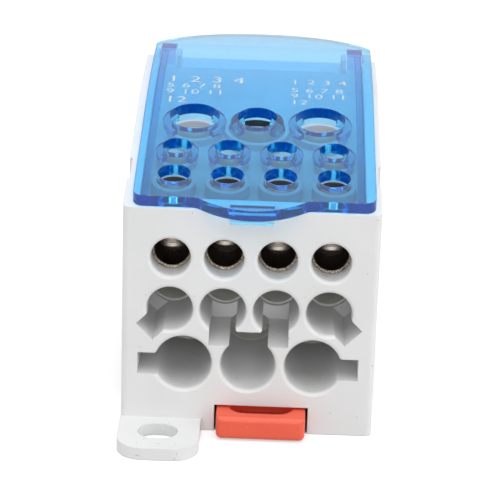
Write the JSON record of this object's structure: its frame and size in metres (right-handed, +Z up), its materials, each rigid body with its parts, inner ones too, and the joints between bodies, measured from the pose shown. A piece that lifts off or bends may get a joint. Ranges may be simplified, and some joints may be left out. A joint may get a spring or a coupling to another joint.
{
  "type": "power distribution block",
  "caption": "Plastic power distribution block for a 35 mm rail, with keyed wire entries, clamp screws, a hinged clear blue cover and an orange rail latch.",
  "frame": {"origin": "centre of the outline on the base plane, in the middle of the rail channel", "axes": "+X along the rail, to the right as seen from the wire side; +Y from the wire side to the supply side; +Z up, away from the rail"},
  "size_m": [0.048, 0.098, 0.0576],
  "materials": {
    "housing_plastic": "moulded pale grey polyamide, fine satin",
    "deck_plastic": "moulded pale grey polyamide, satin",
    "plated_brass": "nickel-plated brass, machined",
    "screw_steel": "zinc-plated steel, bright",
    "clear_blue_plastic": "transparent blue polycarbonate, polished",
    "latch_plastic": "moulded orange-red plastic, satin",
    "spring_steel": "drawn spring wire"
  },
  "bodies": {
    "body": {"housing": "housing_plastic", "deck": "deck_plastic", "terminal_block": "plated_brass", "latch_spring": "spring_steel"},
    "cover_body": {"cover": "clear_blue_plastic"},
    "latch_body": {"rail_latch": "latch_plastic"},
    "front_clamp_screw_1_body": {"front_clamp_screw_1": "screw_steel"},
    "front_clamp_screw_2_body": {"front_clamp_screw_2": "screw_steel"},
    "front_clamp_screw_3_body": {"front_clamp_screw_3": "screw_steel"},
    "front_clamp_screw_4_body": {"front_clamp_screw_4": "screw_steel"},
    "middle_clamp_screw_1_body": {"middle_clamp_screw_1": "screw_steel"},
    "middle_clamp_screw_2_body": {"middle_clamp_screw_2": "screw_steel"},
    "middle_clamp_screw_3_body": {"middle_clamp_screw_3": "screw_steel"},
    "middle_clamp_screw_4_body": {"middle_clamp_screw_4": "screw_steel"},
    "rear_clamp_screw_left_body": {"rear_clamp_screw_left": "screw_steel"},
    "rear_clamp_screw_right_body": {"rear_clamp_screw_right": "screw_steel"},
    "supply_clamp_screw_body": {"supply_clamp_screw": "screw_steel"}
  },
  "joints": [
    {"name": "cover_hinge", "type": "hinge", "parent": "body", "child": "cover_body", "pos_m": [0, 0.0322, 0.05143], "axis": [-1, 0, 0], "range_deg": [0, 90]},
    {"name": "latch_slide", "type": "slide", "parent": "body", "child": "latch_body", "axis": [0, -1, 0], "range_m": [0, 0.0035], "stiffness_N_per_m": 800, "springref_m": -0.002, "deforming": ["latch_spring"]},
    {"name": "front_clamp_screw_1_drive", "type": "slide", "parent": "body", "child": "front_clamp_screw_1_body", "axis": [0, 0, -1], "range_m": [-0.0027, 0.001]},
    {"name": "front_clamp_screw_2_drive", "type": "slide", "parent": "body", "child": "front_clamp_screw_2_body", "axis": [0, 0, -1], "range_m": [-0.0027, 0.001]},
    {"name": "front_clamp_screw_3_drive", "type": "slide", "parent": "body", "child": "front_clamp_screw_3_body", "axis": [0, 0, -1], "range_m": [-0.0027, 0.001]},
    {"name": "front_clamp_screw_4_drive", "type": "slide", "parent": "body", "child": "front_clamp_screw_4_body", "axis": [0, 0, -1], "range_m": [-0.0027, 0.001]},
    {"name": "middle_clamp_screw_1_drive", "type": "slide", "parent": "body", "child": "middle_clamp_screw_1_body", "axis": [0, 0, -1], "range_m": [0, 0.006]},
    {"name": "middle_clamp_screw_2_drive", "type": "slide", "parent": "body", "child": "middle_clamp_screw_2_body", "axis": [0, 0, -1], "range_m": [0, 0.006]},
    {"name": "middle_clamp_screw_3_drive", "type": "slide", "parent": "body", "child": "middle_clamp_screw_3_body", "axis": [0, 0, -1], "range_m": [0, 0.006]},
    {"name": "middle_clamp_screw_4_drive", "type": "slide", "parent": "body", "child": "middle_clamp_screw_4_body", "axis": [0, 0, -1], "range_m": [0, 0.006]},
    {"name": "rear_clamp_screw_left_drive", "type": "slide", "parent": "body", "child": "rear_clamp_screw_left_body", "axis": [0, 0, -1], "range_m": [0, 0.007]},
    {"name": "rear_clamp_screw_right_drive", "type": "slide", "parent": "body", "child": "rear_clamp_screw_right_body", "axis": [0, 0, -1], "range_m": [0, 0.007]},
    {"name": "supply_clamp_screw_drive", "type": "slide", "parent": "body", "child": "supply_clamp_screw_body", "axis": [0, 0, -1], "range_m": [0, 0.012]}
  ]
}
